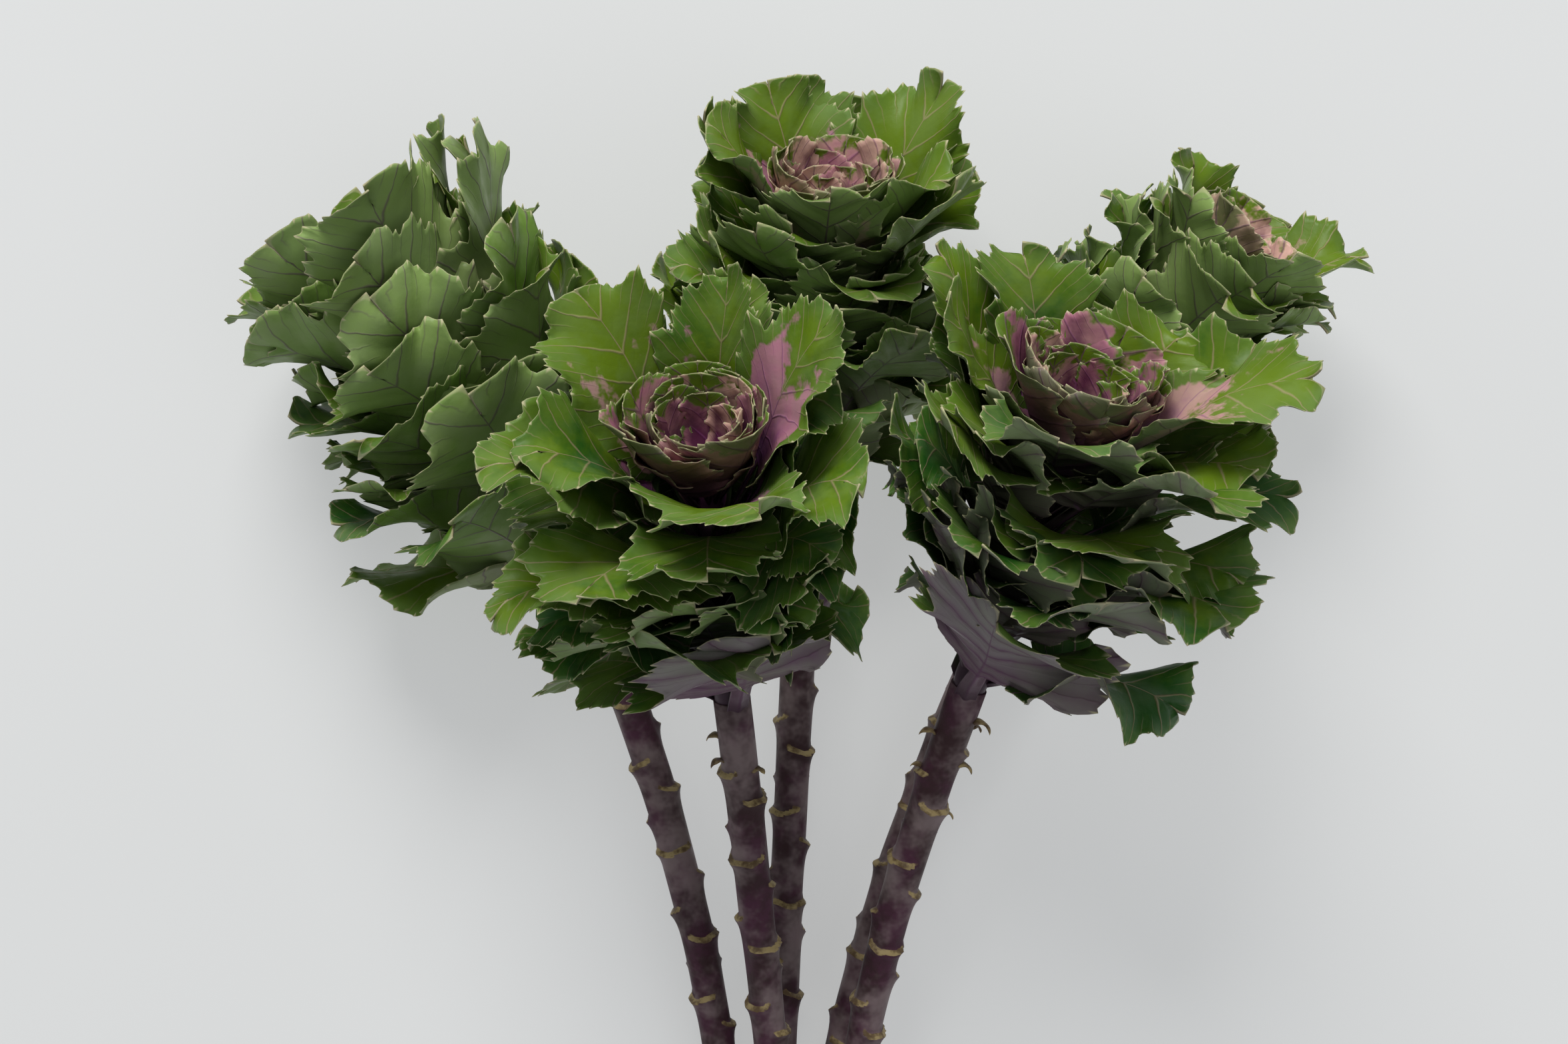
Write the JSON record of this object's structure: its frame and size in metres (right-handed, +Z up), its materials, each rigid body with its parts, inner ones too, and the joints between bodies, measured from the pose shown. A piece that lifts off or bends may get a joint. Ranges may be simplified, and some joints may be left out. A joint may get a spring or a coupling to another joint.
{
  "type": "purple kale bunch",
  "caption": "Loose bunch of cut ornamental kale, laid down: scarred purple stems, ruffled green rosettes and purple hearts.",
  "frame": {"origin": "centre of the bounding box at its lowest height, on the surface that the bunch lies on", "axes": "+Z up, +Y from the cut ends of the stems to the heads, +X across the bunch to the right"},
  "size_m": [0.4466, 0.5101, 0.2437],
  "materials": {
    "stem": "satin, with a pale waxy bloom",
    "leaf": "matt to satin leaf, waxy",
    "heart": "satin leaf"
  },
  "bodies": {
    "root": {"stem_upper_left": "stem", "leaves_upper_left": "leaf", "heart_upper_left": "heart", "stem_upper_right": "stem", "leaves_upper_right": "leaf", "heart_upper_right": "heart", "stem_lower_left": "stem", "leaves_lower_left": "leaf", "heart_lower_left": "heart", "stem_lower_middle": "stem", "leaves_lower_middle": "leaf", "heart_lower_middle": "heart", "stem_lower_right": "stem", "leaves_lower_right": "leaf", "heart_lower_right": "heart"}
  },
  "joints": []
}
